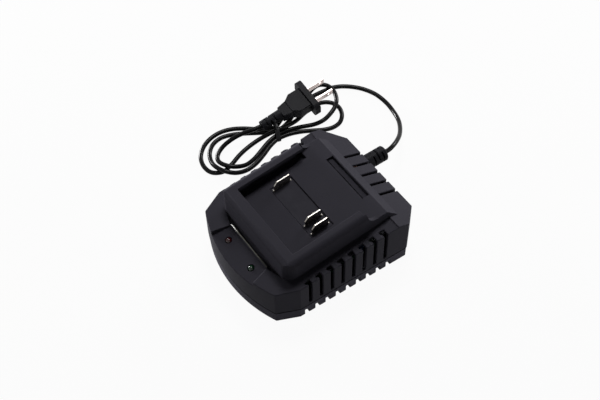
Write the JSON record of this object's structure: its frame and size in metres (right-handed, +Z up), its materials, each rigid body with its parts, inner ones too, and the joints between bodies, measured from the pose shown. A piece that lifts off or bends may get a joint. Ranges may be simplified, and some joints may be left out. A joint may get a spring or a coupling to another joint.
{
  "type": "power tool battery charger",
  "caption": "Mains charger with a sloping slide-in battery dock, contact blades, two indicator lamps, side vents and a folded power lead.",
  "frame": {"origin": "middle of the case on the surface that it stands on, under its rubber feet", "axes": "+Y from the curved front with the lamps to the back with the lead, +X to the right seen from the front, +Z up"},
  "size_m": [0.19, 0.2094, 0.0621],
  "materials": {
    "case_abs": "fine textured charcoal black",
    "foot_rubber": "matt black",
    "zinc_steel": "zinc plated",
    "block_nylon": "plain black",
    "nickel_brass": "bright nickel plating",
    "red_pvc": "smooth",
    "red_lens": "clear dark red",
    "green_lens": "clear dark green",
    "white_nylon": "natural nylon",
    "board_laminate": "green solder mask",
    "ferrite": "dark grey ferrite",
    "yellow_tape": "yellow polyester",
    "capacitor_sleeve": "dark blue sleeve",
    "copper_enamel": "enamelled copper wire",
    "blue_epoxy": "blue epoxy",
    "clear_glass": "clear tube",
    "chip_epoxy": "moulded epoxy",
    "plain_aluminium": "plain sheet",
    "green_epoxy": "green epoxy",
    "tan_epoxy": "tan epoxy",
    "cord_pvc": "smooth black vinyl",
    "brown_pvc": "smooth",
    "tie_plastic": "black plastic over wire"
  },
  "bodies": {
    "root": {"base_shell": "case_abs", "top_cover": "case_abs", "rubber_feet": "foot_rubber", "case_screws": "zinc_steel", "terminal_block": "block_nylon", "terminal_negative": "nickel_brass", "terminal_sense": "nickel_brass", "terminal_positive": "nickel_brass", "terminal_leads": "red_pvc", "terminal_screws": "zinc_steel", "led_red": "red_lens", "led_green": "green_lens", "led_spacers": "white_nylon", "circuit_board": "board_laminate", "board_screws": "zinc_steel", "transformer_core": "ferrite", "transformer_bobbin": "white_nylon", "transformer_winding": "yellow_tape", "bulk_capacitor": "capacitor_sleeve", "output_capacitors": "capacitor_sleeve", "line_filter_choke": "copper_enamel", "x_capacitor": "yellow_tape", "y_capacitor": "blue_epoxy", "fuse": "clear_glass", "bridge_rectifier": "chip_epoxy", "primary_heatsink": "plain_aluminium", "switching_transistor": "chip_epoxy", "secondary_heatsink": "plain_aluminium", "output_diode": "chip_epoxy", "heatsink_screws": "zinc_steel", "controller_chip": "chip_epoxy", "optocoupler": "chip_epoxy", "thermistor": "green_epoxy", "resistors": "tan_epoxy", "cord_gland": "cord_pvc", "mains_cores": "brown_pvc", "mains_cord": "cord_pvc", "cord_hank": "cord_pvc", "plug_body": "cord_pvc", "plug_blades": "nickel_brass", "twist_tie": "tie_plastic"}
  },
  "joints": []
}
